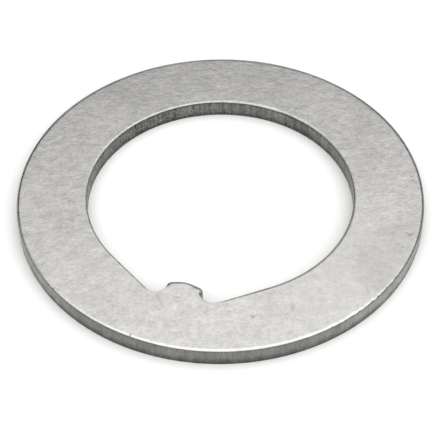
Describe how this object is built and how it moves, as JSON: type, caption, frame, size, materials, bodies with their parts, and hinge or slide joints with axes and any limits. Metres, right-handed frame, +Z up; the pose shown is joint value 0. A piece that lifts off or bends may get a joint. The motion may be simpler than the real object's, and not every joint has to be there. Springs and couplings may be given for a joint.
{
  "type": "spacer ring",
  "caption": "Flat round steel ring whose bore carries an inward key tab between rounded relief pockets, so that it slides over a grooved spindle and can't turn on it.",
  "frame": {"origin": "centre of the outer rim, in the plane of the underside", "axes": "+Z up through the thickness, out of the face whose rims are rolled over; the key tab is on the -Y side of the bore and points along +Y, at the centre"},
  "size_m": [0.1068, 0.1068, 0.005],
  "materials": {
    "steel": "bare satin plate steel, blanked and tumbled, with fine grain on the faces and upright streaks on the cut walls"
  },
  "bodies": {
    "root": {"spacer_ring": "steel"}
  },
  "joints": []
}
